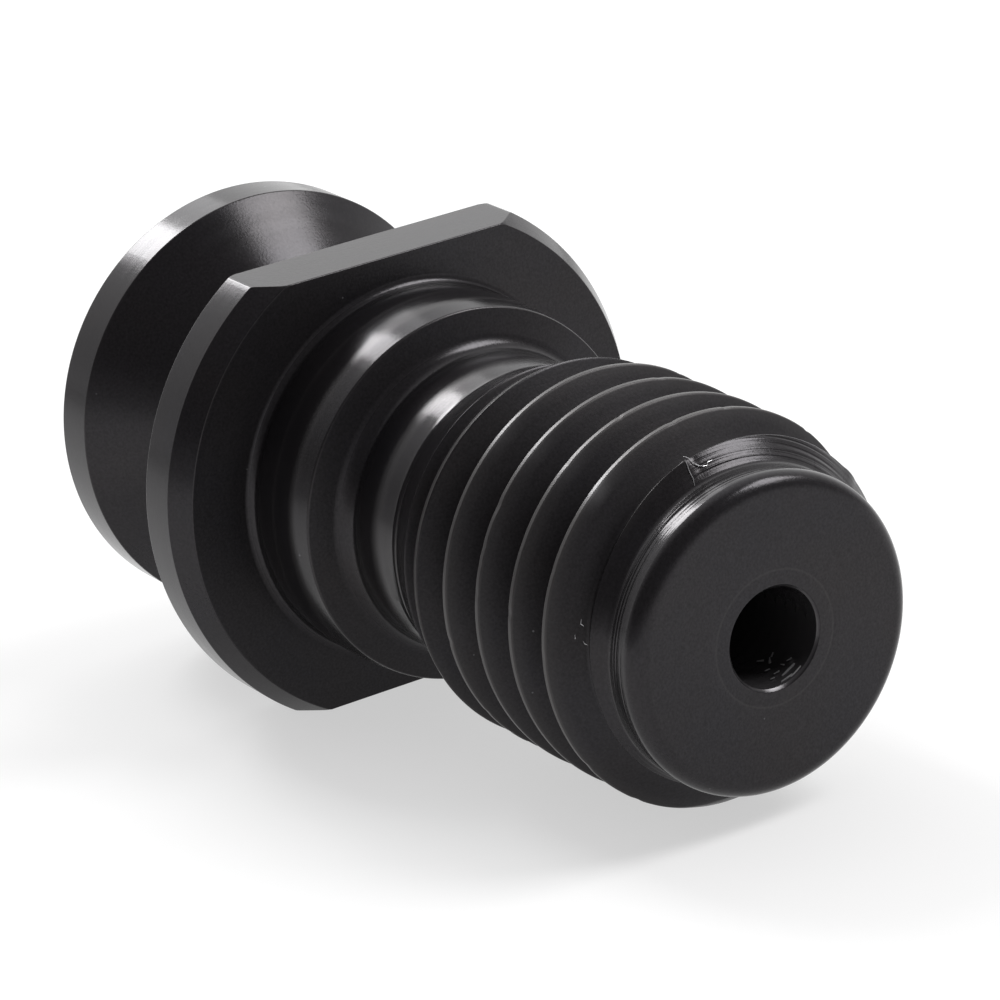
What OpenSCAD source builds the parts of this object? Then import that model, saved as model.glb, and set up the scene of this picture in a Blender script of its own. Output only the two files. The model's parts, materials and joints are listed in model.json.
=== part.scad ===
// Retention stud for a 40 taper tool holder: one turned piece that lies on its side.
// The body is worked out along its own axis, from the seating face of the collar,
// and is then laid on the lower wrench flat and the lowest thread crest.

/* [Thread] */
// Major diameter of the thread
thread_d = 15.875; // [15.5:0.125:16]
// Pitch, 11 turns to the inch
thread_pitch = 2.309; // [1.8:0.001:2.5]
// From the thread's end face to the end of the full diameter
thread_length = 13; // [11:0.1:13.4]
// Diameter of the plain nose in front of the thread
nose_d = 13; // [12.6:0.1:13]
// From the end face to the start of the 45 degree lead chamfer
nose_length = 2.05; // [1.5:0.05:2.5]
// Radius that blends the end face into the nose
nose_round = 0.8; // [0.4:0.1:1.2]
// Angle at which the crest line would meet the end face
thread_start = 88; // [0:1:180]
// Angle of the run-out taper, measured from the axis
runout_angle = 20; // [16:1:30]

/* [Shank] */
// From the thread's end face to the seating face of the collar
shank_length = 25.4; // [25:0.1:27]
// Diameter of the relief behind the thread
relief_d = 13; // [12.8:0.1:13.4]
// Diameter of the pilot that centres the stud
pilot_d = 16.256; // [16:0.001:16.6]
// Length of the pilot
pilot_length = 4.3; // [3.5:0.1:5]
// Fillet between the relief and the pilot
relief_fillet = 1.4; // [0.6:0.1:1.4]
// Fillet between the pilot and the seating face
seat_fillet = 0.4; // [0.2:0.1:0.6]
// Diameter of the coolant bore, which runs right through
bore_d = 4.1; // [3:0.1:6]

/* [Collar] */
// Diameter of the collar
collar_d = 23; // [22:0.1:25]
// Thickness of the collar
collar_t = 3; // [2.6:0.1:4]
// Size across the two wrench flats
across_flats = 19.05; // [19:0.05:21]
// Radial size of the chamfer round the seating face
seat_chamfer = 0.6; // [0.3:0.1:0.8]
// Edge break on the back of the collar
collar_break = 0.2; // [0.1:0.05:0.4]

/* [Head] */
// From the seating face to the end of the head
projection = 14.5; // [14:0.1:17]
// Diameter of the head
head_d = 18.8; // [18:0.1:19]
// Diameter of the neck
neck_d = 12.45; // [11.5:0.05:13]
// Length of the cylinder round the head
head_land = 1.9; // [1.4:0.1:2.4]
// Chamfer on the end of the head
head_chamfer = 0.8; // [0.4:0.1:1.2]
// Fillets at both ends of the neck
neck_fillet = 1; // [0.5:0.1:1.5]

/* [Hidden] */
$fn = 96;
columns = 40;         // points round one turn of the thread
nose_rings = 5;       // bands in the rounded edge of the nose
snap = 0.08;          // points nearer to a ring than this join it
overlap = 0.5;        // how far the thread's core runs into the relief
tuck = 0.05;          // how far that core stays under the relief's surface
edge = 0.2;           // small break on the pilot's front edge
seat_slope = 30;      // slope of the chamfer round the seating face, from the axis

// thread form: 60 degree flanks, a crest one eighth and a root one sixth of the pitch
major_r = thread_d / 2;
crest_w = thread_pitch / 8;
root_w = thread_pitch / 6;
flank_w = (thread_pitch - crest_w - root_w) / 2;
root_r = major_r - flank_w / tan(30);
// each corner of one thread: its distance from the crest's middle, and its radius
thread_form = [
    [-crest_w / 2 - flank_w, root_r],
    [-crest_w / 2 - flank_w / 2, (root_r + major_r) / 2],
    [-crest_w / 2, major_r],
    [crest_w / 2, major_r],
    [crest_w / 2 + flank_w / 2, (root_r + major_r) / 2],
    [crest_w / 2 + flank_w, root_r]
];
corners = len(thread_form);

nose_r = nose_d / 2;
nose_profile = concat(
    [for (band = [0:nose_rings]) let (a = 90 * band / nose_rings)
        [nose_r - nose_round * (1 - sin(a)), nose_round * (1 - cos(a))]],
    [[nose_r, nose_length]]);
core_r = relief_d / 2 - tuck;
runout_end = thread_length + (major_r - core_r) / tan(runout_angle);
turns_before = 2;                                // whole turns that lie before the end face
turns = ceil(runout_end / thread_pitch) + 1 + turns_before;
rows = turns * corners;

// the stud rests on the lower flat and on the first crest corner below the axis that the lead
// chamfer leaves at its full radius; offset is where that corner lies from the crest's middle
full_start = nose_length + major_r - nose_r;
rest_turn = (thread_start + 90) / 360;
function full_corner(offset) =
    thread_pitch * (ceil((full_start - offset) / thread_pitch - rest_turn) + rest_turn) + offset;
rest_station = min(full_corner(-crest_w / 2), full_corner(crest_w / 2));
rest_tilt = atan((across_flats / 2 - major_r) / (shank_length - rest_station));

cone_start = projection - head_chamfer - head_land - (head_d - neck_d) / 2;

// distance of a thread corner from the end face: one pitch further for each turn
function station(row, column) =
    thread_pitch * (floor(row / corners) - turns_before + column / columns + thread_start / 360)
    + thread_form[row % corners][0];

// radius there, cut down by the lead chamfer and the run-out taper
function thread_radius(row, s) =
    min(thread_form[row % corners][1], nose_r + s - nose_length,
        core_r + (runout_end - s) * tan(runout_angle));

function ring_point(r, s, column) =
    let (a = 360 * column / columns) [r * cos(a), r * sin(a), s - shank_length];

// number of a thread corner in the list of points; what lies past an end joins the ring there
function corner_id(row, column) =
    column == columns ? corner_id(row + corners, 0)
    : station(row, column) < nose_length + snap ? front_ring + column
    : row >= rows || station(row, column) > runout_end - snap ? back_ring + column
    : row * columns + column;

function ring_id(ring, column) = ring + column % columns;

front_ring = (rows + nose_rings + 1) * columns;
back_ring = front_ring + columns;

// two triangles for each four-sided patch, without those that have no area
function patch(a, b, c, d) =
    [for (t = [[a, b, c], [a, c, d]]) if (t[0] != t[1] && t[1] != t[2] && t[2] != t[0]) t];

module thread_core() {
    helix_points = [for (row = [0:rows - 1], column = [0:columns - 1])
        let (s = station(row, column)) ring_point(thread_radius(row, s), s, column)];
    nose_points = [for (corner = nose_profile, column = [0:columns - 1])
        ring_point(corner[0], corner[1], column)];
    back_points = [for (s = [runout_end, runout_end + overlap], column = [0:columns - 1])
        ring_point(core_r, s, column)];
    ends = [[0, 0, -shank_length], [0, 0, runout_end + overlap - shank_length]];
    nose_ring = rows * columns;
    last_ring = back_ring + columns;
    nose_middle = last_ring + columns;
    helix_faces = [for (row = [0:rows - 1], column = [0:columns - 1])
        each patch(corner_id(row, column), corner_id(row + 1, column),
            corner_id(row + 1, column + 1), corner_id(row, column + 1))];
    ring_faces = [for (ring = [for (i = [0:nose_rings]) nose_ring + i * columns, back_ring],
            column = [0:columns - 1])
        each patch(ring_id(ring, column), ring_id(ring + columns, column),
            ring_id(ring + columns, column + 1), ring_id(ring, column + 1))];
    end_faces = [for (column = [0:columns - 1])
        each [[nose_middle, ring_id(nose_ring, column), ring_id(nose_ring, column + 1)],
            [nose_middle + 1, ring_id(last_ring, column + 1), ring_id(last_ring, column)]]];
    polyhedron(concat(helix_points, nose_points, back_points, ends),
        concat(helix_faces, ring_faces, end_faces), convexity = 10);
}

// fills an inside corner with a fillet of radius r; toward gives the side of the wall
module cove(corner, r, toward) {
    translate(corner) difference() {
        translate([0, toward > 0 ? -r : 0]) square(r);
        translate([r, -toward * r]) circle(r);
    }
}

// fillet where the neck runs into the 45 degree cone of the head
module cone_cove() {
    reach = neck_fillet * tan(22.5);
    translate([neck_d / 2, cone_start]) difference() {
        polygon([[0, -reach], [neck_fillet, -reach], [reach * cos(45), reach * sin(45)], [0, 0]]);
        translate([neck_fillet, -reach]) circle(neck_fillet);
    }
}

module body_section() {
    relief_start = runout_end - shank_length;
    polygon([
        [0, relief_start],
        [relief_d / 2, relief_start],
        [relief_d / 2, -pilot_length],
        [pilot_d / 2 - edge, -pilot_length],
        [pilot_d / 2, edge - pilot_length],
        [pilot_d / 2, 0],
        [collar_d / 2 - seat_chamfer, 0],
        [collar_d / 2, seat_chamfer / tan(seat_slope)],
        [collar_d / 2, collar_t - collar_break],
        [collar_d / 2 - collar_break, collar_t],
        [neck_d / 2, collar_t],
        [neck_d / 2, cone_start],
        [head_d / 2, cone_start + (head_d - neck_d) / 2],
        [head_d / 2, projection - head_chamfer],
        [head_d / 2 - head_chamfer, projection],
        [0, projection]
    ]);
    cove([relief_d / 2, -pilot_length], relief_fillet, 1);
    cove([pilot_d / 2, 0], seat_fillet, 1);
    cove([neck_d / 2, collar_t], neck_fillet, -1);
    cone_cove();
}

// everything outside the two wrench flats, over the height of the collar
module flat_cutters() {
    for (side = [-1, 1])
        translate([0, side * (across_flats + collar_d) / 2, collar_t / 2])
            cube([collar_d + 1, collar_d, collar_t + 1], center = true);
}

module stud() {
    color([0.14, 0.13, 0.14])
    rotate([rest_tilt - 90, 0, 0])
    difference() {
        union() {
            thread_core();
            rotate_extrude() body_section();
        }
        flat_cutters();
        translate([0, 0, -shank_length - 1])
            cylinder(d = bore_d, h = shank_length + projection + 2);
    }
}

stud();
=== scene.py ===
import json
import math

import bpy
import numpy as np
from mathutils import Matrix, Vector


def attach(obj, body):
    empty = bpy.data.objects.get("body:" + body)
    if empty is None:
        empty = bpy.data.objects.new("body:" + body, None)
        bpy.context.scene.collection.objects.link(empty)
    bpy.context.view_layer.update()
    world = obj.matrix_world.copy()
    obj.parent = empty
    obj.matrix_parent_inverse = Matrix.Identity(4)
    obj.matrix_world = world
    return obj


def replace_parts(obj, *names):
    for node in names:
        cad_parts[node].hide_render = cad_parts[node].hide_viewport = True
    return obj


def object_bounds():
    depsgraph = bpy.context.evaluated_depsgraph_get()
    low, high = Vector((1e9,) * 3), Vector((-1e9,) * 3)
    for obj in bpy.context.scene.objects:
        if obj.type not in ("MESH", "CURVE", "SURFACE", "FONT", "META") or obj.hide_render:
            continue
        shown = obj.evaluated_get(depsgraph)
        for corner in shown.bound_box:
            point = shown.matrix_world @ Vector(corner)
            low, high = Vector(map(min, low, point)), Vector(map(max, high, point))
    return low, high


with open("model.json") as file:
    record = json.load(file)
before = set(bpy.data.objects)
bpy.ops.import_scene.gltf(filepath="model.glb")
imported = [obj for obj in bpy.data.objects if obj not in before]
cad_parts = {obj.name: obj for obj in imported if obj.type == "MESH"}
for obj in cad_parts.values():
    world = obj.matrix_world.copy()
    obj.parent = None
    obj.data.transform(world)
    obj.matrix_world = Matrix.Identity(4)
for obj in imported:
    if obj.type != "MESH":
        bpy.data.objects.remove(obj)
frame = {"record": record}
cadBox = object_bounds()
record = frame["record"]
mm = 0.001

# The stud lies on its collar flat and its thread, so its axis leans a few degrees out of level.
mounts = {m["name"]: m for m in record["mounts"]}
threadwards = mounts["coolant_bore"]["axis"]
restTilt = math.atan2(-threadwards[2], -threadwards[1])
floorHeight = cadBox[0].z

cameraView = {
    "azimuth": -30.99,  # degrees round the stud, where 0 looks along +Y
    "elevation": 17.86,
    "roll": -7.48,
    "distance": 206.1,  # mm from the aim point
    "aim": (0.17, -6.17, -0.22),  # mm, on the axis, in front of the collar
    "lens": 180.1,
}

studio = {
    "floorRadius": 4.0,  # metres
    "floorSides": 64,
    "floorColour": (0.43, 0.43, 0.43),
    "floorGlow": 0.56,
    "fadeStart": 0.02,  # the mirrored floor dims between these distances, in metres
    "fadeEnd": 0.3,
    "farGlow": 0.15,
    "dimSide": (0.16, 0.155, 0.16),
    "dimHorizon": (0.44, 0.43, 0.44),
    "horizonReach": 0.28,  # sine of the height up to which the dim side lightens
    "brightSide": (1.4, 1.4, 1.4),
    "brightAzimuth": 150.0,  # where the bright side of the room is
    "brightElevation": 25.0,
    "brightStart": 0.1,  # cosine of the angle from it at which the room is dim
    # name: azimuth, elevation, distance in m, width and height in m, radiance
    "panels": {
        "stripPanel": (181.5, 41.0, 1.4, 0.34, 0.60, 13.5),
        "softPanel": (165.0, 38.0, 1.41, 0.42, 0.60, 1.4),
        "sidePanel": (58.0, 47.0, 1.4, 0.60, 0.60, 10.4),
    },
}


def directionOf(azimuth, elevation):
    a, e = math.radians(azimuth), math.radians(elevation)
    return Vector((math.sin(a) * math.cos(e), -math.cos(a) * math.cos(e), math.sin(e)))


def placeCamera(view):
    back = directionOf(view["azimuth"], view["elevation"])
    level = directionOf(view["azimuth"] + 90, 0)
    roll = math.radians(view["roll"])
    side = level * math.cos(roll) + back.cross(level) * math.sin(roll)
    axes = Matrix((side, back.cross(side), back)).transposed()
    data = bpy.data.cameras.new("viewCamera")
    data.lens = view["lens"]
    data.sensor_width = 36
    data.clip_start, data.clip_end = 0.01, 20
    camera = bpy.data.objects.new("viewCamera", data)
    bpy.context.scene.collection.objects.link(camera)
    camera.matrix_world = axes.to_4x4()
    camera.location = (Vector(view["aim"]) + back * view["distance"]) * mm
    bpy.context.scene.camera = camera


def newMaterial(name):
    material = bpy.data.materials.new(name)
    material.use_nodes = True
    nodes = material.node_tree.nodes
    nodes.clear()
    output = nodes.new("ShaderNodeOutputMaterial")
    return material, nodes, material.node_tree.links, output


def calculate(tree, operation, first, second):
    # a maths node of two values, each a number or a socket
    node = tree.nodes.new("ShaderNodeMath")
    node.operation = operation
    for slot, value in ((0, first), (1, second)):
        if isinstance(value, (int, float)):
            node.inputs[slot].default_value = value
        else:
            tree.links.new(value, node.inputs[slot])
    return node.outputs["Value"]


def floorMaterial():
    # White card, brought up to white where it is seen or mirrored. The mirrored part dims with
    # distance. It is clear from below, so that a view from underneath sees the stud.
    material, nodes, links, output = newMaterial("floorCard")
    tree = material.node_tree
    card = nodes.new("ShaderNodeBsdfDiffuse")
    card.inputs["Color"].default_value = (*studio["floorColour"], 1)
    path = nodes.new("ShaderNodeLightPath")
    glow = nodes.new("ShaderNodeEmission")
    lit = nodes.new("ShaderNodeAddShader")
    clear = nodes.new("ShaderNodeBsdfTransparent")
    geometry = nodes.new("ShaderNodeNewGeometry")
    mix = nodes.new("ShaderNodeMixShader")
    place = nodes.new("ShaderNodeTexCoord")
    away = nodes.new("ShaderNodeVectorMath")
    away.operation = "LENGTH"
    fade = nodes.new("ShaderNodeMapRange")
    fade.interpolation_type = "SMOOTHSTEP"
    fade.inputs["From Min"].default_value = studio["fadeStart"]
    fade.inputs["From Max"].default_value = studio["fadeEnd"]
    fade.inputs["To Min"].default_value = 1.0
    fade.inputs["To Max"].default_value = studio["farGlow"]
    links.new(place.outputs["Object"], away.inputs[0])
    links.new(away.outputs["Value"], fade.inputs["Value"])
    mirrored = calculate(tree, "MULTIPLY", path.outputs["Is Glossy Ray"], fade.outputs["Result"])
    seen = calculate(tree, "MAXIMUM", path.outputs["Is Camera Ray"], mirrored)
    seen = calculate(tree, "MAXIMUM", seen, path.outputs["Is Transmission Ray"])
    links.new(calculate(tree, "MULTIPLY", seen, studio["floorGlow"]), glow.inputs["Strength"])
    links.new(card.outputs["BSDF"], lit.inputs[0])
    links.new(glow.outputs["Emission"], lit.inputs[1])
    links.new(geometry.outputs["Backfacing"], mix.inputs["Fac"])
    links.new(lit.outputs["Shader"], mix.inputs[1])
    links.new(clear.outputs["BSDF"], mix.inputs[2])
    links.new(mix.outputs["Shader"], output.inputs["Surface"])
    return material


def makeFloor():
    radius, sides = studio["floorRadius"], studio["floorSides"]
    turns = np.linspace(0, 2 * math.pi, sides, endpoint=False)
    rim = np.stack([radius * np.cos(turns), radius * np.sin(turns), np.full(sides, floorHeight)], 1)
    mesh = bpy.data.meshes.new("floor")
    mesh.from_pydata(rim.tolist(), [], [list(range(sides))])
    mesh.materials.append(floorMaterial())
    floor = bpy.data.objects.new("floor", mesh)
    bpy.context.scene.collection.objects.link(floor)


def lightRoom():
    # the world goes smoothly from its dim side to its bright side, and its dim side
    # lightens down to the horizon, as a sweep of pale card would
    world = bpy.data.worlds.new("room")
    bpy.context.scene.world = world
    world.use_nodes = True
    nodes, links = world.node_tree.nodes, world.node_tree.links
    nodes.clear()
    place = nodes.new("ShaderNodeTexCoord")
    towards = nodes.new("ShaderNodeVectorMath")
    towards.operation = "DOT_PRODUCT"
    towards.inputs[1].default_value = directionOf(studio["brightAzimuth"], studio["brightElevation"])
    ramp = nodes.new("ShaderNodeMapRange")
    ramp.interpolation_type = "SMOOTHSTEP"
    ramp.inputs["From Min"].default_value = studio["brightStart"]
    ramp.inputs["From Max"].default_value = 1.0
    rise = nodes.new("ShaderNodeSeparateXYZ")
    lowDown = nodes.new("ShaderNodeMapRange")
    lowDown.interpolation_type = "SMOOTHSTEP"
    lowDown.inputs["From Max"].default_value = studio["horizonReach"]
    dim = nodes.new("ShaderNodeMix")
    dim.data_type = "RGBA"
    dim.inputs["A"].default_value = (*studio["dimHorizon"], 1)
    dim.inputs["B"].default_value = (*studio["dimSide"], 1)
    colour = nodes.new("ShaderNodeMix")
    colour.data_type = "RGBA"
    colour.inputs["B"].default_value = (*studio["brightSide"], 1)
    background = nodes.new("ShaderNodeBackground")
    output = nodes.new("ShaderNodeOutputWorld")
    links.new(place.outputs["Generated"], towards.inputs[0])
    links.new(towards.outputs["Value"], ramp.inputs["Value"])
    links.new(place.outputs["Generated"], rise.inputs[0])
    links.new(rise.outputs["Z"], lowDown.inputs["Value"])
    links.new(lowDown.outputs["Result"], dim.inputs["Factor"])
    links.new(dim.outputs["Result"], colour.inputs["A"])
    links.new(ramp.outputs["Result"], colour.inputs["Factor"])
    links.new(colour.outputs["Result"], background.inputs["Color"])
    links.new(background.outputs["Background"], output.inputs["Surface"])
    for name, (azimuth, elevation, distance, width, height, radiance) in studio["panels"].items():
        lamp = bpy.data.lights.new(name, "AREA")
        lamp.shape = "RECTANGLE"
        lamp.size, lamp.size_y = width, height
        lamp.energy = radiance * width * height * math.pi
        panel = bpy.data.objects.new(name, lamp)
        bpy.context.scene.collection.objects.link(panel)
        towardsPanel = directionOf(azimuth, elevation)
        panel.location = towardsPanel * distance
        panel.rotation_euler = (-towardsPanel).to_track_quat("-Z", "Y").to_euler()


bpy.context.scene.view_settings.view_transform = "Standard"
placeCamera(cameraView)
makeFloor()
lightRoom()
print("studio ready")

# Lengths are in mm, stations are measured along the axis from the thread's end face, and turns
# are in degrees round the axis, from +X and over the underside.
stud = {
    "seatStation": 25.4,
    "endStation": 39.9,
    "boreRadius": 2.05,
    "boreMiddle": 26.0,  # the bore is plain from the head's mouth to here
    "mouthBreak": 0.12,
    "faceRing": 2.77,  # a faint ring turned into the thread's end face
    "ringHalf": 0.07,
    "ringDepth": 0.015,
    "noseRadius": 6.6,
    "faceSink": 0.014,  # the end face's rim sinks this much, so the nose stays in its box
    "leadStart": 6.5,  # the chamfer's radius at the nose's full length
    "noseRound": 0.7,
    "noseLength": 2.05,
    "noseTaper": 0.19,  # how much thinner the nose is where the lead chamfer starts
    "noseRings": (1.2, 1.45, 1.7, 1.82, 1.94),  # rows of vertices between its rounding and its end
    "threadTop": 7.9375,
    "threadRoot": 6.521,
    "pitch": 2.309,
    "flankAngle": 60.0,
    "threadStart": 88.0,
    "runoutRadius": 6.45,
    "runoutStation": 17.087,
    "runoutAngle": 20.0,
    "reliefRadius": 6.5,
    "reliefStart": 17.3,
    "reliefCrown": 18.3,  # where the relief is thickest
    "reliefStep": 0.03,  # how much thinner the relief is where the thread runs out
    "reliefCove": 0.85,
    "reliefDip": 0.2,  # the relief and the pilot are very slightly barrelled
    "reliefSweep": 8.0,  # radii of the barrelled stretches
    "pilotSweep": 6.0,
    "shoulderRise": 0.45,  # how far the shoulder leans back from its foot to its edge
    "pilotRadius": 8.128,
    "pilotStation": 21.1,
    "pilotCrown": (22.2, 23.6),  # the pilot is thickest between these
    "pilotEdge": 0.12,
    "pilotDip": 0.12,
    "seatCove": 0.4,
    "collarRadius": 11.49,
    "collarBack": 28.4,
    "flatHeight": 9.525,
    "chamferRadius": 10.9,
    "chamferSlope": 30.0,
    "collarBreak": 0.2,
    "leastChamfer": 0.03,  # what is left of the chamfer and of the back's edge along the flats
    "leastBreak": 0.05,
    "neckRadius": 6.225,
    "neckCove": 1.0,
    "coneStation": 34.025,
    "headRadius": 9.4,
    "headLand": 37.2,
    "landEnd": 39.1,
    "headFace": 8.6,
    "mouthRing": 3.1,  # radius of the last ring that has the bore's coarser columns
    "faceStart": 3.4,  # radius of the first ring that has the fine columns
    "cornerColumns": (-1.5, -0.35, 0, 0.35, 1.5),  # degrees from each corner of the flats
    "columns": 360,
    "boreColumns": 90,
    # roundings of the outer edges
    "edgeRound": 0.12,
    "rimRound": 0.1,
    "fineRound": 0.08,
    "mouthRound": 0.05,
    "crestRound": 0.05,
    "rootRound": 0.16,
    "leadRound": 0.14,
    "cornerRound": 0.04,
    # a rounding takes up to this share of the shorter side beside it, and a cove takes more
    "edgeShare": 0.47,
    "coveShare": 0.9,
    "leastCove": 0.3,  # the smallest radius that counts as a cove
}
stud["crestHalf"] = stud["pitch"] / 20
stud["rootHalf"] = stud["pitch"] / 12
flankSlope = math.tan(math.radians(stud["flankAngle"]))

# Rows of vertices on each side of a crest: one at a share of the crest, one before and one after
# its corner, some down the flank by their share of the way, and one past the flank's foot.
helixRows = {
    "onCrest": 0.55,
    "beforeCorner": 0.03,
    "afterCorner": 0.045,
    "downFlank": (0.33, 0.66, 1),
    "beforeFoot": 0.06,
    "afterFoot": 0.08,
    "leastFlank": 0.1,  # a corner that is cut down stays this far from the foot
    "cornerRounds": 14,  # rounds that the search for the corner takes
}

# Rings left by the drill near the thread's mouth. They fade in from their start.
drillRings = {"start": 14.0, "end": 0.5, "rows": 0.11, "spacing": 0.66, "depth": 0.02, "fade": 3.0}

# The tool left a lip on the lead chamfer where it ran off the thread's start.
# "growth" is how far behind the nose the lip or the dip reaches its full size.
leadLip = {"turn": 256.5, "height": 0.32, "tail": 24.0, "edge": 2.5, "growth": 0.9}
leadDip = {"turn": 217.0, "depth": 0.24, "reach": 20.0, "growth": 0.7}
leadBurr = {"turn": 326.0, "height": 0.06, "reach": 3.0}
crestNicks = {"seed": 7, "count": 60, "turns": 7, "depth": (0.01, 0.045), "width": (0.4, 1.6)}

# Where the crests are worn bright, and where a highlight is painted on them: the lip's edge, a
# painted highlight on every crest at one turn, where the key light's reflection falls, and one
# dent on the first crest. Each has its turn and its reach in degrees, and then how much of the
# pale steel colour it takes. The dent's turn counts on from thread to thread.
wear = {
    "leadEnd": 3.6,  # station past which nothing of the lead chamfer is left
    "lip": (240.0, 16.0),
    "paintedSheen": (236.0, 6.0, 0.14),
    # a painted highlight: every crest is lightened at this turn, where the key light's reflection
    # falls
    "dent": (593.0, 4.5, 0.4),
    "fullCrest": (7.3, 0.3),  # the crests wear above this radius
    # how worn the roundings of the body are, and the ring in the end face
    "bodyEdge": 0.3,
    "faceRing": 0.4,
    # mm over which the wear ends, on the flank past the crest's corner, where the lead chamfer or
    # the run-out takes over, on each side of the lip's edge, and above the run-out's radius
    "crestEnd": 0.02,
    "crestFade": 0.04,
    "chamferFade": 0.06,
    "lipFade": 0.07,
    "flankFade": 0.1,
    "mouthWall": 0.08,  # the bore's pale wall takes in this much of its mouth
}

# Chatter marks on the lead chamfer: the turn at which they end, over how many degrees they fade
# there and rise behind the lip, how strong they are elsewhere and on the nose, and the station
# at which they start on the nose and over how many mm they rise there.
chatter = {
    "turn": 322.0,
    "fade": 12.0,
    "rise": 4.0,
    "faint": 0.3,
    "nose": 0.5,
    "noseStart": 0.5,
    "noseRise": 0.5,
}

# Hairs of steel left by the cut, each with its thickness in mm and its points as (turn, station,
# height above the lead chamfer).
hairs = {
    "curledHair": (0.026, (
        (256.6, 2.76, 0.02), (258.0, 2.66, 0.08), (258.3, 2.50, 0.08),
        (259.3, 2.41, 0.05), (260.6, 2.34, 0.06), (262.0, 2.33, 0.02))),
    "fineHair": (0.018, (
        (256.4, 2.66, 0.05), (256.2, 2.57, 0.06), (255.4, 2.37, 0.06),
        (255.0, 2.18, 0.05), (253.9, 2.02, 0.03))),
    "sideHair": (0.016, ((262.0, 2.33, 0.02), (262.8, 2.40, 0.03), (264.5, 2.42, 0.01))),
    "lowFleck": (0.020, ((196.6, 2.80, 0.02), (195.2, 2.77, 0.05), (194.6, 2.70, 0.01))),
    "midFleck": (0.016, ((191.6, 2.90, 0.01), (190.8, 2.86, 0.05), (190.2, 2.88, 0.01))),
    "endFleck": (0.014, ((190.0, 2.66, 0.01), (189.2, 2.60, 0.03), (188.8, 2.52, 0.01))),
}

# A hair is a tube, with this many rings for each of its points. It swells from a share of its
# thickness at both ends to the whole of it, and a part of the swell is cut off at each end.
hairShape = {"sides": 6, "rings": 6, "ends": 0.35, "cutOff": 0.06}

# Chips of steel caught low in the bore's mouth: turn, station, length, width, how far it stands
# off the wall, and its yaw from the bore's direction in degrees.
boreChips = (
    (69.5, 2.05, 0.30, 0.09, 0.16, 35.0),
    (75.0, 1.40, 0.22, 0.07, 0.08, 70.0),
    (72.0, 0.95, 0.26, 0.06, 0.05, 80.0),
    (63.5, 1.65, 0.34, 0.10, 0.18, -40.0),
    (60.0, 1.05, 0.20, 0.07, 0.07, 15.0),
    (51.0, 0.95, 0.24, 0.06, 0.06, 60.0),
    (55.0, 1.85, 0.22, 0.08, 0.12, -65.0),
    (82.0, 0.75, 0.18, 0.06, 0.05, 85.0),
    (62.0, 0.62, 0.70, 0.06, 0.03, 90.0),
    (72.0, 0.30, 0.55, 0.05, 0.02, 87.0),
    (60.0, 0.22, 0.60, 0.04, 0.02, 92.0),
)
chipShape = {"farWidth": 0.45, "thickness": 0.1}  # shares of its width and of its length


def smoothMin(a, b, width):
    # the smaller of a and b, with the crease between them rounded over the width
    mix = np.clip(0.5 + 0.5 * (b - a) / width, 0, 1)
    return b + (a - b) * mix - width * mix * (1 - mix)


def smoothMax(a, b, width):
    return -smoothMin(-a, -b, width)


def columnTurns():
    # one column a degree, pulled in at the four corners between the collar's rim and its flats
    count = stud["columns"]
    turns = np.arange(count) * 360.0 / count
    corner = math.degrees(math.asin(stud["flatHeight"] / stud["collarRadius"]))
    for place in (corner, 180 - corner, 180 + corner, 360 - corner):
        middle = round(place * count / 360)
        turns[middle - 2:middle + 3] = place + np.array(stud["cornerColumns"])
    return turns


def roundedProfile(corners, radii, steps):
    # Each corner of the outline is swapped for an arc: the tangent length is the radius over the
    # tangent of half the corner's angle, and the arc is a quadratic Bezier weighted by its sine.
    # Beside the rows comes how far each one is on a rounded outer edge, from 0 to 1.
    rows, edges = [corners[0]], [0.0]
    for k in range(1, len(corners) - 1):
        before = corners[k - 1] - corners[k]
        after = corners[k + 1] - corners[k]
        lengthBefore = np.linalg.norm(before, axis=-1, keepdims=True)
        lengthAfter = np.linalg.norm(after, axis=-1, keepdims=True)
        before, after = before / lengthBefore, after / lengthAfter
        outer = (before[0, 0] * after[0, 1] - before[0, 1] * after[0, 0]) < 0
        half = np.arccos(np.clip((before * after).sum(-1, keepdims=True), -1, 1)) / 2
        reach = radii[k] / np.tan(half)
        share = stud["coveShare"] if radii[k] > stud["leastCove"] else stud["edgeShare"]
        reach = np.minimum(reach, share * np.minimum(lengthBefore, lengthAfter))
        first, last = corners[k] + before * reach, corners[k] + after * reach
        weight = np.sin(half)
        for u in np.linspace(0, 1, steps[k] + 1):
            a, b, c = (1 - u) ** 2, 2 * u * (1 - u) * weight, u ** 2
            rows.append((a * first + b * corners[k] + c * last) / (a + b + c))
            edges.append(float(outer and 0 < steps[k] < 5) * math.sin(math.pi * u) ** 0.5)
    rows.append(corners[-1])
    edges.append(0.0)
    return np.array(rows), np.array(edges)


def outline(turns, points):
    # points are (radius, station, rounding, steps); radius and station may vary with the turn
    corners = np.array([np.stack(np.broadcast_arrays(p[0], p[1] + 0 * turns), -1) for p in points])
    return roundedProfile(corners, [p[2] for p in points], [p[3] for p in points])


def collarRim(turns):
    # the rim's radius is the smaller of the turned radius and the distance to the flat
    rise = np.maximum(np.abs(np.sin(np.radians(turns))), 1e-3)
    turned = np.full(len(turns), stud["collarRadius"])
    return smoothMin(turned, stud["flatHeight"] / rise, stud["cornerRound"])


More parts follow.
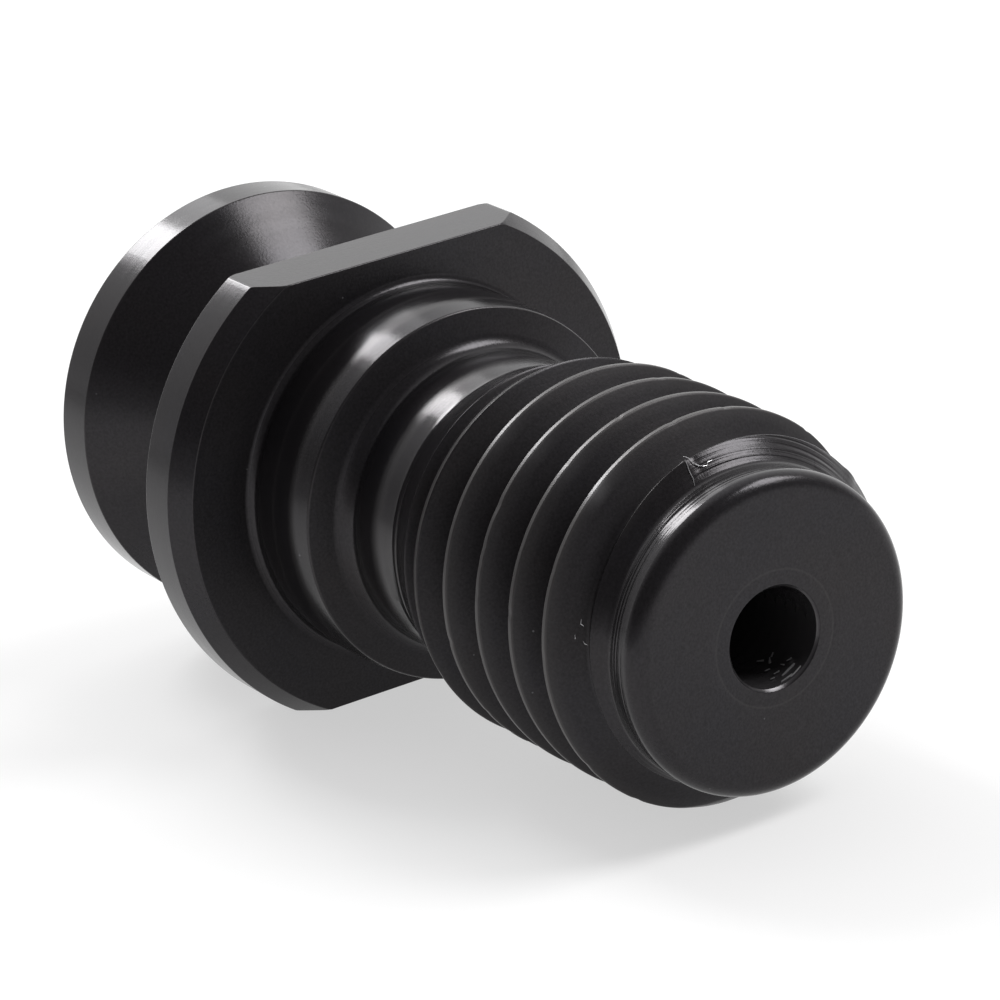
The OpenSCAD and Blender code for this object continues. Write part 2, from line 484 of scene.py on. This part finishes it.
def leadRadius(station, turns):
    # the tapered nose, then the 45 degree lead chamfer with its lip and its dip
    length = stud["noseLength"]
    nose = stud["noseRadius"] - stud["noseTaper"] * station / length
    behind = leadLip["turn"] - turns
    lip = leadLip["height"] * np.clip(1 - behind / leadLip["tail"], 0, 1)
    lip = lip * np.clip(behind / leadLip["edge"] + 1, 0, 1)
    dip = leadDip["depth"] * np.exp(-((turns - leadDip["turn"]) / leadDip["reach"]) ** 2)
    burr = leadBurr["height"] * np.exp(-((turns - leadBurr["turn"]) / leadBurr["reach"]) ** 4)
    past = station - length
    chamfer = stud["leadStart"] + past - dip * np.clip(past / leadDip["growth"], 0, 1)
    chamfer += (lip + burr) * np.clip(past / leadLip["growth"], 0, 1) ** 2
    return smoothMax(nose, chamfer, stud["leadRound"])


def noseRows(turns):
    first, *others = stud["noseRings"]
    rows = outline(turns, [
        (stud["faceStart"], 0, 0, 0),
        (stud["noseRadius"], stud["faceSink"], stud["noseRound"], 9),
        (leadRadius(first + 0 * turns, turns), first, 0, 0),
    ])[0]
    stations = np.array([*others, stud["noseLength"]])[:, None] + 0 * turns
    more = np.stack([leadRadius(stations, turns), stations], -1)
    return np.concatenate([rows, more])


def bodyRows(turns):
    rim = collarRim(turns)
    seat, back = stud["seatStation"], stud["collarBack"]
    least, slope = stud["leastChamfer"], math.tan(math.radians(stud["chamferSlope"]))
    faceEdge = np.minimum(stud["chamferRadius"], rim - least)
    chamferEnd = seat + np.maximum(rim - faceEdge, least) / slope
    onFlat = faceEdge < stud["chamferRadius"]
    chamferEnd = np.where(onFlat, seat + stud["leastBreak"], chamferEnd)
    backBreak = stud["collarBreak"] - (stud["collarRadius"] - rim)
    backBreak = np.maximum(stud["leastBreak"], backBreak)
    pilot, pilotStart, relief = stud["pilotRadius"], stud["pilotStation"], stud["reliefRadius"]
    neck, cone, head = stud["neckRadius"], stud["coneStation"], stud["headRadius"]
    edge, fine = stud["edgeRound"], stud["fineRound"]
    return outline(turns, [
        (relief - stud["reliefStep"], stud["reliefStart"], 0, 0),
        (relief, stud["reliefCrown"], stud["reliefSweep"], 4),
        (relief - stud["reliefDip"], pilotStart - stud["shoulderRise"], stud["reliefCove"], 9),
        (pilot - stud["pilotEdge"], pilotStart, edge, 4),
        (pilot, stud["pilotCrown"][0], stud["pilotSweep"], 3),
        (pilot, stud["pilotCrown"][1], stud["pilotSweep"], 3),
        (pilot - stud["pilotDip"], seat, stud["seatCove"], 5),
        (faceEdge, seat, fine, 2),
        (rim, chamferEnd, stud["rimRound"], 2),
        (rim, back - backBreak, fine, 2),
        (rim - backBreak, back, fine, 2),
        (neck, back, stud["neckCove"], 8),
        (neck, cone, stud["neckCove"], 5),
        (head, stud["headLand"], edge, 3),
        (head, stud["landEnd"], edge, 3),
        (stud["headFace"], stud["endStation"], edge, 3),
        (stud["faceStart"], stud["endStation"], 0, 0),
    ])


def boreRows(turns):
    # from the head's mouth back to the thread's mouth, with fine drill rings near the thread
    bore, edge, end = stud["boreRadius"], stud["mouthBreak"], stud["endStation"]
    mouth, rounding, ring = stud["mouthRing"], stud["mouthRound"], stud["faceRing"]
    rings = np.arange(drillRings["start"], drillRings["end"], -drillRings["rows"])
    ripple = drillRings["depth"] * np.abs(np.sin(np.pi * rings / drillRings["spacing"]))
    ripple = ripple * np.clip((drillRings["start"] - rings) / drillRings["fade"], 0, 1)
    points = [(mouth, end, 0, 0), (bore + edge, end, rounding, 2), (bore, end - edge, rounding, 2)]
    points += [(bore, stud["boreMiddle"], 0, 1)]
    points += [(bore + wave, station, 0, 1) for wave, station in zip(ripple, rings)]
    points += [(bore, edge, rounding, 2), (bore + edge, 0, rounding, 2)]
    points += [(ring - stud["ringHalf"], 0, 0, 1), (ring, stud["ringDepth"], 0, 1)]
    points += [(ring + stud["ringHalf"], 0, 0, 1), (mouth, 0, 0, 0)]
    corners = np.array([np.stack([p[0] + 0 * turns, p[1] + 0 * turns], -1) for p in points])
    rows = [corners[0]]
    for k in range(1, len(points) - 1):
        if points[k][2]:
            part = roundedProfile(corners[k - 1:k + 2], [0, points[k][2], 0], [0, points[k][3], 0])[0]
            rows += list(part[1:-1])
        else:
            rows.append(corners[k])
    rows.append(corners[-1])
    return np.array(rows)


def runoutRadius(station):
    slope = math.tan(math.radians(stud["runoutAngle"]))
    return stud["runoutRadius"] + (stud["runoutStation"] - station) * slope


def nickDepth(crestTurn):
    # small dents along the crest, at random turns counted on from thread to thread
    source = np.random.default_rng(crestNicks["seed"])
    places = source.uniform(0, crestNicks["turns"] * 360, crestNicks["count"])
    depths = source.uniform(*crestNicks["depth"], crestNicks["count"])
    widths = source.uniform(*crestNicks["width"], crestNicks["count"])
    away = (crestTurn[..., None] - places) / widths
    return (depths * np.exp(-away ** 2)).sum(-1)


def flankRadius(offset):
    # the two flanks would meet above the crest's middle
    return stud["threadTop"] + (stud["crestHalf"] - np.abs(offset)) * flankSlope


def threadRadius(station, offset, turns, crestTurn):
    # offset is the distance along the axis from the middle of the crest
    crest = stud["crestRound"]
    flank = flankRadius(offset)
    radius = smoothMin(stud["threadTop"] - nickDepth(crestTurn), flank, crest)
    radius = smoothMax(radius, np.full(flank.shape, stud["threadRoot"]), stud["rootRound"])
    radius = smoothMin(radius, leadRadius(station, turns), crest)
    radius = smoothMin(radius, runoutRadius(station), crest)
    return smoothMax(radius, np.full(flank.shape, stud["reliefRadius"] - stud["reliefStep"]), crest)


def cutDepth(turns):
    # the tool chattered on the lead chamfer from the lip onwards, and marked the rest faintly
    past = np.clip((turns - leadLip["turn"]) / chatter["rise"], 0, 1)
    past = past * np.clip((chatter["turn"] - turns) / chatter["fade"], 0, 1)
    return chatter["faint"] + (1 - chatter["faint"]) * past


def crestCorner(middle, turns, side):
    # How far from the crest's middle its corner lies. Where the lead chamfer or the run-out cuts
    # the crest down to a lower top, the corner moves down the flank: half + (full - top) / slope.
    half = stud["crestHalf"]
    most = stud["pitch"] / 2 - stud["rootHalf"] - helixRows["leastFlank"]
    corner = np.full(middle.shape, half)
    for _ in range(helixRows["cornerRounds"]):
        station = middle + side * corner
        top = np.minimum(leadRadius(station, turns), runoutRadius(station))
        top = np.minimum(top, stud["threadTop"])
        corner = half + (stud["threadTop"] - top) / flankSlope
        corner = np.clip(corner, half, most)
    return corner


def halfTurnOffsets(corner):
    # rows from the middle of a crest to the root, close together at the crest's corner and at
    # the flank's foot
    foot = stud["pitch"] / 2 - stud["rootHalf"]
    close = helixRows["afterCorner"]
    flank = foot - corner - close - helixRows["beforeFoot"]
    spots = [corner * helixRows["onCrest"], corner - helixRows["beforeCorner"], corner]
    spots += [corner + close]
    spots += [corner + close + flank * part for part in helixRows["downFlank"]]
    spots += [foot + 0 * corner, foot + helixRows["afterFoot"] + 0 * corner]
    return spots


def threadRows(turns, front, back):
    # Rows follow the helix: a row keeps its place on the thread form and climbs a pitch a turn.
    pitch = stud["pitch"]
    first, last = -2, int(back / pitch) + 1
    climb = pitch * (turns + stud["threadStart"]) / 360
    rows = []
    for k in range(first, last + 1):
        middle, following = k * pitch + climb, (k + 1) * pitch + climb
        rear = halfTurnOffsets(crestCorner(middle, turns, 1))
        ahead = halfTurnOffsets(crestCorner(following, turns, -1))
        rows += [(middle, 0 * turns, k)]
        rows += [(middle, offset, k) for offset in rear]
        rows += [(middle, 0 * turns + pitch / 2, k)]
        rows += [(following, -offset, k + 1) for offset in reversed(ahead)]
    perTurn = len(rows) // (last - first + 1)
    offset = np.array([row[1] for row in rows])
    station = np.clip(np.array([row[0] for row in rows]) + offset, front, back)
    crestTurn = np.array([row[2] * 360 + turns for row in rows])
    radius = threadRadius(station, offset, turns[None, :], crestTurn)
    past = np.abs(offset) - stud["crestHalf"] - wear["crestEnd"]
    top = np.clip(1 - past / wear["crestFade"], 0, 1)
    lead, fade = leadRadius(station, turns), wear["chamferFade"]
    onLead = np.clip(1 - (lead - radius) / fade, 0, 1) * (station < wear["leadEnd"])
    onRunout = np.clip(1 - (runoutRadius(station) - radius) / fade, 0, 1)
    lipEdge = np.exp(-((flankRadius(offset) - lead) / wear["lipFade"]) ** 2) * onLead
    lipEdge *= np.exp(-((turns - wear["lip"][0]) / wear["lip"][1]) ** 4)
    # Painted highlight: every crest is lightened towards pale steel at one turn, where the key
    # light's reflection falls. The dent is real wear.
    paintedSheenOnCrests = wear["paintedSheen"][2] * np.exp(-((turns - wear["paintedSheen"][0]) / wear["paintedSheen"][1]) ** 2)
    dented = wear["dent"][2] * np.exp(-((crestTurn - wear["dent"][0]) / wear["dent"][1]) ** 2)
    fullCrest = np.clip((radius - wear["fullCrest"][0]) / wear["fullCrest"][1], 0, 1)
    free = (1 - onLead) * (1 - onRunout)
    raised = np.clip((radius - stud["runoutRadius"]) / wear["flankFade"], 0, 1)
    masks = {
        "worn": np.maximum(top * fullCrest * (1 - onLead), lipEdge),
        # pale steel: real on the dent, and a painted highlight on the crests at one turn
        "bareAndSheen": top * np.maximum(paintedSheenOnCrests, dented) * free,
        "flank": (1 - top) * free * raised,
        "cut": onLead * cutDepth(turns),
    }
    return np.stack([radius, station], -1), masks, perTurn


def ringIds(start, rows, columns):
    ids = start + np.arange(rows * columns).reshape(rows, columns)
    return np.concatenate([ids, ids[:, :1]], 1)


def sewRows(ids):
    # quads between neighbouring rows; where two corners are one vertex the quad is a triangle
    a, b, c, d = ids[:-1, :-1], ids[:-1, 1:], ids[1:, 1:], ids[1:, :-1]
    quads = np.stack([a, b, c, d], -1).reshape(-1, 4)
    left, right = quads[:, 0] == quads[:, 3], quads[:, 1] == quads[:, 2]
    faces = quads[~left & ~right].tolist()
    faces += quads[left & ~right][:, [0, 1, 2]].tolist()
    faces += quads[~left & right][:, [0, 1, 3]].tolist()
    return faces


def placed(rows, turns):
    # radius and station round the axis, then the rest tilt about the seat
    angle = np.radians(turns)
    x = rows[..., 0] * np.cos(angle)
    up = -rows[..., 0] * np.sin(angle)
    along = rows[..., 1] - stud["seatStation"]
    y = along * math.cos(restTilt) - up * math.sin(restTilt)
    z = along * math.sin(restTilt) + up * math.cos(restTilt)
    return np.stack([x, y, z], -1).reshape(-1, 3)


def areaNormals(points, faces):
    # A vertex normal is the sum of its faces' area vectors, so a wide face stays flat right up to
    # the small rounding beside it.
    normals = np.zeros(points.shape)
    for size in sorted({len(f) for f in faces}):
        ids = np.array([f for f in faces if len(f) == size])
        places = points[ids]
        vectors = np.cross(places, np.roll(places, -1, axis=1)).sum(1)
        for k in range(size):
            np.add.at(normals, ids[:, k], vectors)
    return normals / np.maximum(np.linalg.norm(normals, axis=1, keepdims=True), 1e-12)


maskNames = ("worn", "flank", "cut", "inner", "square", "bareAndSheen")


def sewFace(fine, rough, step):
    # an end face joins the fine outer columns to the coarse bore columns, by one face of
    # step + 3 corners for each coarse column, whichever of the two comes first
    outerFirst = len(fine) > len(rough)
    many, few = (fine, rough) if outerFirst else (rough, fine)
    wide = np.stack([many[k:-1:step] for k in range(step)] + [many[step::step]], 1)
    if outerFirst:
        return np.concatenate([wide, few[1:, None], few[:-1, None]], 1).tolist()
    return np.concatenate([few[:-1, None], few[1:, None], wide[:, ::-1]], 1).tolist()


def sewHelix(helix, perTurn, noseIds, bodyIds, start):
    # A row that has run past the nose or the relief takes their vertices. At the seam a row goes
    # on as the row one turn further back.
    own = start + np.arange(helix.shape[0] * helix.shape[1]).reshape(helix.shape[:2])
    own = np.where(helix[..., 1] <= noseIds["station"], noseIds["ids"][-1, :-1], own)
    own = np.where(helix[..., 1] >= bodyIds["station"], bodyIds["ids"][0, :-1], own)
    seam = np.concatenate([own[perTurn:, 0], np.full(perTurn, bodyIds["ids"][0, 0])])
    return np.concatenate([own, seam[:, None]], 1)


def studMasks(starts, columns, nose, bodyEdges, bore, helixMasks):
    # one value a vertex, in the order nose, helix, body, bore
    masks = {name: np.zeros(starts[-1]) for name in maskNames}
    for name, values in helixMasks.items():
        masks[name][starts[1]:starts[2]] = values.reshape(-1)
    masks["worn"][starts[2]:starts[3]] = np.repeat(bodyEdges * wear["bodyEdge"], columns)
    past = nose[..., 1].reshape(-1) - chatter["noseStart"]
    fade = np.clip(past / chatter["noseRise"], 0, 1)
    masks["cut"][:starts[1]] = fade * chatter["nose"]
    boreRadii = bore[..., 0].reshape(-1)
    masks["inner"][starts[3]:] = boreRadii < stud["boreRadius"] + wear["mouthWall"]
    masks["worn"][starts[3]:] = wear["faceRing"] * (np.abs(boreRadii - stud["faceRing"]) < 0.01)
    return masks


def makeStud():
    turns = columnTurns()
    columns = len(turns)
    step = columns // stud["boreColumns"]
    coarse = turns[::step]
    nose = noseRows(turns)
    body, bodyEdges = bodyRows(turns)
    front, back = nose[-1, 0, 1], body[0, 0, 1]
    helix, helixMasks, perTurn = threadRows(turns, front, back)
    bore = boreRows(coarse)
    places = [placed(part, turns) for part in (nose, helix, body)] + [placed(bore, coarse)]
    starts = np.cumsum([0] + [len(part) for part in places])
    masks = studMasks(starts, columns, nose, bodyEdges, bore, helixMasks)
    noseIds = ringIds(starts[0], len(nose), columns)
    bodyIds = ringIds(starts[2], len(body), columns)
    boreIds = ringIds(starts[3], len(bore), len(coarse))
    helixIds = sewHelix(helix, perTurn, {"ids": noseIds, "station": front},
                        {"ids": bodyIds, "station": back}, starts[1])
    faces = sewRows(np.concatenate([noseIds, helixIds, bodyIds]))
    faces += sewRows(boreIds)
    faces += sewFace(bodyIds[-1], boreIds[0], step)
    faces += sewFace(boreIds[-1], noseIds[0], step)
    # vertices that no face uses are left out
    used = np.unique(np.concatenate([np.array(f) for f in faces]))
    renumber = np.zeros(starts[-1], int)
    renumber[used] = np.arange(len(used))
    faces = [renumber[f].tolist() for f in faces]
    points = np.concatenate(places)[used] * mm
    mesh = bpy.data.meshes.new("studBody")
    mesh.from_pydata(points.tolist(), [], faces)
    mesh.update()
    mesh.shade_smooth()
    normals = areaNormals(points, faces)
    along = normals @ np.array([0, math.cos(restTilt), math.sin(restTilt)])
    masks = {name: values[used] for name, values in masks.items()}
    masks["square"] = np.abs(along) ** 4
    for name, values in masks.items():
        mesh.attributes.new(name, "FLOAT", "POINT").data.foreach_set("value", values)
    mesh.normals_split_custom_set_from_vertices(normals.tolist())
    print("stud", len(points), "points", sum(len(f) - 2 for f in faces), "triangles")
    return mesh


def boxFaces(count):
    # four long sides and two ends for each of the boxes, whose corners run round the near end
    # and then round the far end
    sides = [[k, (k + 1) % 4, (k + 1) % 4 + 4, k + 4] for k in range(4)]
    one = np.array(sides + [[3, 2, 1, 0], [4, 5, 6, 7]])
    return (one[None] + 8 * np.arange(count)[:, None, None]).reshape(-1, 4)


def meshOf(name, points, faces):
    mesh = bpy.data.meshes.new(name)
    mesh.from_pydata((points * mm).tolist(), [], [list(face) for face in faces])
    mesh.update()
    for mask in maskNames:
        values = np.full(len(points), float(mask == "bareAndSheen"))
        mesh.attributes.new(mask, "FLOAT", "POINT").data.foreach_set("value", values)
    return mesh


def makeHairs():
    # each hair is a round tube along its points, thin at both ends
    places, faces, start = [], [], 0
    sides, ends, cut = hairShape["sides"], hairShape["ends"], hairShape["cutOff"]
    around = np.arange(sides)[:, None] * 2 * math.pi / sides
    for thickness, path in hairs.values():
        path = np.array(path)
        spots = np.linspace(0, len(path) - 1, hairShape["rings"] * len(path))
        turn, station, height = [np.interp(spots, np.arange(len(path)), path[:, k]) for k in range(3)]
        radius = leadRadius(station, turn) + height
        middle = placed(np.stack([radius, station], -1), turn)
        ahead = np.gradient(middle, axis=0)
        ahead /= np.linalg.norm(ahead, axis=1, keepdims=True)
        outward = placed(np.stack([radius + 1, station - 1], -1), turn) - middle
        side = np.cross(ahead, outward)
        side /= np.linalg.norm(side, axis=1, keepdims=True)
        up = np.cross(side, ahead)
        swell = np.sin(np.pi * np.linspace(cut, 1 - cut, len(spots)))
        width = thickness * (ends + (1 - ends) * swell)
        tube = middle[:, None] + width[:, None, None] * (
            np.cos(around) * side[:, None] + np.sin(around) * up[:, None])
        ids = ringIds(start, len(spots), sides)
        faces += [f[::-1] for f in sewRows(ids)]
        faces += [ids[0, :-1][::-1].tolist(), ids[-1, :-1].tolist()]
        places.append(tube.reshape(-1, 3))
        start += len(spots) * sides
    return np.concatenate(places), faces


def makeChips():
    # Flat flakes on the bore's wall: each is a box, narrower at its far end, turned by its yaw
    # about the wall's inward direction.
    turn, station, length, width, off, yaw = np.array(boreChips).T
    yaw = np.radians(yaw)
    radius = stud["boreRadius"] - off
    middle = placed(np.stack([radius, station], -1), turn)
    inward = placed(np.stack([radius - 1, station], -1), turn) - middle
    deeper = placed(np.stack([radius, station + 1], -1), turn) - middle
    across = np.cross(inward, deeper)
    ahead = np.cos(yaw)[:, None] * deeper + np.sin(yaw)[:, None] * across
    side = np.cross(inward, ahead)
    half = length * (chipShape["thickness"] / 2)
    corners = []
    for end, share in ((-0.5, 1.0), (0.5, chipShape["farWidth"])):
        for sideSign, upSign in ((-1, -1), (1, -1), (1, 1), (-1, 1)):
            corner = middle + ahead * (length * end)[:, None]
            corner = corner + side * (width * 0.5 * share * sideSign)[:, None]
            corners.append(corner + inward * (half * upSign)[:, None])
    return np.stack(corners, 1).reshape(-1, 3), boxFaces(len(turn))


def newGroup(name, inputs, outputs):
    # inputs and outputs are (name, socket type)
    tree = bpy.data.node_groups.new(name, "ShaderNodeTree")
    for socket, kind in inputs:
        tree.interface.new_socket(name=socket, in_out="INPUT", socket_type=kind)
    for socket, kind in outputs:
        tree.interface.new_socket(name=socket, in_out="OUTPUT", socket_type=kind)
    return tree, tree.nodes.new("NodeGroupInput"), tree.nodes.new("NodeGroupOutput")


def noiseOf(tree, vector, scale, detail):
    noise = tree.nodes.new("ShaderNodeTexNoise")
    noise.inputs["Scale"].default_value = scale
    noise.inputs["Detail"].default_value = detail
    tree.links.new(vector, noise.inputs["Vector"])
    return noise.outputs["Fac"]


marks = {
    "fineScale": 10000.0,  # one unit is 0.1 mm along the axis and along the radius
    "slowScale": 250.0,  # and 4 mm round the stud
    "streaks": 1.0,
    "streakDepth": 0.5,
    "bands": 0.22,
    "chatter": 0.6,
    "chatterDepth": 13.0,
    "cloud": 260.0,
    "grain": 9000.0,
    "plainGrain": 0.5,
    "squareGrain": 1.2,  # added on faces square to the axis
    "spots": 520.0,
    "speckEdge": (0.03, 0.012),
}


def turnedGroup():
    # Marks of the lathe tool: they follow the turning, so they change fast along the axis and
    # along the radius, and slowly round the stud.
    tree, given, result = newGroup("turnedMarks", [
        ("Place", "NodeSocketVector"), ("Cut", "NodeSocketFloat"), ("Square", "NodeSocketFloat")], [
        ("Height", "NodeSocketFloat"), ("Streaks", "NodeSocketFloat"), ("Cloud", "NodeSocketFloat"),
        ("Grain", "NodeSocketFloat"), ("Specks", "NodeSocketFloat")])
    axis = (0, math.cos(restTilt), math.sin(restTilt))
    along = tree.nodes.new("ShaderNodeVectorMath")
    along.operation = "DOT_PRODUCT"
    along.inputs[1].default_value = axis
    tree.links.new(given.outputs["Place"], along.inputs[0])
    onAxis = tree.nodes.new("ShaderNodeVectorMath")
    onAxis.operation = "SCALE"
    onAxis.inputs[0].default_value = axis
    tree.links.new(along.outputs["Value"], onAxis.inputs["Scale"])
    offAxis = tree.nodes.new("ShaderNodeVectorMath")
    offAxis.operation = "SUBTRACT"
    tree.links.new(given.outputs["Place"], offAxis.inputs[0])
    tree.links.new(onAxis.outputs["Vector"], offAxis.inputs[1])
    radius = tree.nodes.new("ShaderNodeVectorMath")
    radius.operation = "LENGTH"
    tree.links.new(offAxis.outputs["Vector"], radius.inputs[0])
    fine = tree.nodes.new("ShaderNodeCombineXYZ")
    for socket, source in (("X", along), ("Y", radius)):
        scaled = calculate(tree, "MULTIPLY", source.outputs["Value"], marks["fineScale"])
        tree.links.new(scaled, fine.inputs[socket])
    slow = tree.nodes.new("ShaderNodeVectorMath")
    slow.operation = "SCALE"
    slow.inputs["Scale"].default_value = marks["slowScale"]
    tree.links.new(offAxis.outputs["Vector"], slow.inputs[0])
    turned = tree.nodes.new("ShaderNodeVectorMath")
    turned.operation = "ADD"
    tree.links.new(fine.outputs["Vector"], turned.inputs[0])
    tree.links.new(slow.outputs["Vector"], turned.inputs[1])
    streaks = noiseOf(tree, turned.outputs["Vector"], marks["streaks"], 3.0)
    bands = noiseOf(tree, turned.outputs["Vector"], marks["bands"], 2.0)
    cloud = noiseOf(tree, given.outputs["Place"], marks["cloud"], 2.0)
    grain = noiseOf(tree, given.outputs["Place"], marks["grain"], 2.0)
    spots = tree.nodes.new("ShaderNodeTexVoronoi")
    spots.inputs["Scale"].default_value = marks["spots"]
    tree.links.new(given.outputs["Place"], spots.inputs["Vector"])
    speck = tree.nodes.new("ShaderNodeMapRange")
    speck.inputs["From Min"].default_value = marks["speckEdge"][0]
    speck.inputs["From Max"].default_value = marks["speckEdge"][1]
    tree.links.new(spots.outputs["Distance"], speck.inputs["Value"])
    # the chatter marks on the lead chamfer are deeper, and faces square to the axis are grainy
    rings = noiseOf(tree, turned.outputs["Vector"], marks["chatter"], 1.0)
    ringDepth = calculate(tree, "MULTIPLY", given.outputs["Cut"], marks["chatterDepth"])
    grainDepth = calculate(tree, "MULTIPLY", given.outputs["Square"], marks["squareGrain"])
    grainDepth = calculate(tree, "ADD", grainDepth, marks["plainGrain"])
    height = calculate(tree, "ADD", calculate(tree, "MULTIPLY", streaks, marks["streakDepth"]),
                       calculate(tree, "MULTIPLY", grain, grainDepth))
    height = calculate(tree, "ADD", height, calculate(tree, "MULTIPLY", rings, ringDepth))
    tree.links.new(height, result.inputs["Height"])
    tree.links.new(bands, result.inputs["Streaks"])
    tree.links.new(cloud, result.inputs["Cloud"])
    tree.links.new(grain, result.inputs["Grain"])
    tree.links.new(speck.outputs["Result"], result.inputs["Specks"])
    return tree


steel = {
    "warmDark": (0.0300, 0.0266, 0.0272),
    "coolDark": (0.0272, 0.0262, 0.0304),
    "wornCrest": (0.074, 0.070, 0.070),
    "innerWall": (0.085, 0.081, 0.085),
    # pale steel of the chips, the hairs and the dent, also used for the painted highlight on the
    # crests
    "bareSteelAndSheen": (0.55, 0.55, 0.56),
    "speck": (0.16, 0.16, 0.17),
    "metallic": 0.55,
    "specularLevel": 0.35,
    "grain": 0.5,  # how strongly the fine grain changes the colour
    "wornShift": 0.3,  # wear follows the streaks, raised by this much
    # roughness of the turned cylinders, how far the streaks change it, and what is added on
    # faces square to the axis, on the thread's flanks and on worn edges
    "roughness": 0.17,
    "streakRoughness": 0.1,
    "moreRoughness": {"square": 0.2, "flank": 0.22, "worn": 0.22},
    "markDepth": 0.0000035,  # metres
}


def mixColours(tree, mask, low, high):
    mix = tree.nodes.new("ShaderNodeMix")
    mix.data_type = "RGBA"
    for socket, value in (("Factor", mask), ("A", low), ("B", high)):
        if isinstance(value, tuple):
            mix.inputs[socket].default_value = (*value, 1)
        else:
            tree.links.new(value, mix.inputs[socket])
    return mix.outputs["Result"]


def steelMaterial():
    material, nodes, links, output = newMaterial("blackOxide")
    tree = material.node_tree
    place = nodes.new("ShaderNodeTexCoord")
    turned = nodes.new("ShaderNodeGroup")
    turned.node_tree = turnedGroup()
    links.new(place.outputs["Object"], turned.inputs["Place"])
    masks = {}
    for name in maskNames:
        mask = nodes.new("ShaderNodeAttribute")
        mask.attribute_name = name
        masks[name] = mask.outputs["Fac"]
    links.new(masks["cut"], turned.inputs["Cut"])
    links.new(masks["square"], turned.inputs["Square"])
    colour = mixColours(tree, turned.outputs["Cloud"], steel["warmDark"], steel["coolDark"])
    grain = calculate(tree, "MULTIPLY", turned.outputs["Grain"], steel["grain"] * 2)
    grain = calculate(tree, "ADD", grain, 1 - steel["grain"])
    grained = nodes.new("ShaderNodeVectorMath")
    grained.operation = "SCALE"
    links.new(colour, grained.inputs[0])
    links.new(grain, grained.inputs["Scale"])
    colour = grained.outputs["Vector"]
    colour = mixColours(tree, masks["inner"], colour, steel["innerWall"])
    worn = calculate(tree, "ADD", turned.outputs["Streaks"], steel["wornShift"])
    worn = calculate(tree, "MULTIPLY", masks["worn"], worn)
    colour = mixColours(tree, worn, colour, steel["wornCrest"])
    colour = mixColours(tree, turned.outputs["Specks"], colour, steel["speck"])
    # pale steel for the chips, the hairs and the dent, and a painted highlight on the crests at one
    # turn
    colour = mixColours(tree, masks["bareAndSheen"], colour, steel["bareSteelAndSheen"])
    rough = calculate(tree, "MULTIPLY", turned.outputs["Streaks"], steel["streakRoughness"])
    rough = calculate(tree, "ADD", rough, steel["roughness"] - steel["streakRoughness"] / 2)
    for name, more in steel["moreRoughness"].items():
        rough = calculate(tree, "ADD", rough, calculate(tree, "MULTIPLY", masks[name], more))
    bump = nodes.new("ShaderNodeBump")
    bump.inputs["Strength"].default_value = 1.0
    bump.inputs["Distance"].default_value = steel["markDepth"]
    links.new(turned.outputs["Height"], bump.inputs["Height"])
    shader = nodes.new("ShaderNodeBsdfPrincipled")
    shader.inputs["Metallic"].default_value = steel["metallic"]
    shader.inputs["Specular IOR Level"].default_value = steel["specularLevel"]
    links.new(colour, shader.inputs["Base Color"])
    links.new(rough, shader.inputs["Roughness"])
    links.new(bump.outputs["Normal"], shader.inputs["Normal"])
    links.new(shader.outputs["BSDF"], output.inputs["Surface"])
    return material


def addPiece(mesh, material):
    mesh.materials.append(material)
    piece = bpy.data.objects.new(mesh.name, mesh)
    bpy.context.scene.collection.objects.link(piece)
    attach(piece, "root")
    return piece


blackOxide = steelMaterial()
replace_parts(addPiece(makeStud(), blackOxide), "stud")
print("stud ready")

hairPoints, hairFaces = makeHairs()
chipPoints, chipFaces = makeChips()
addPiece(meshOf("leadHairs", hairPoints, hairFaces), blackOxide)
addPiece(meshOf("boreChips", chipPoints, chipFaces), blackOxide)
print("hairs and chips ready")
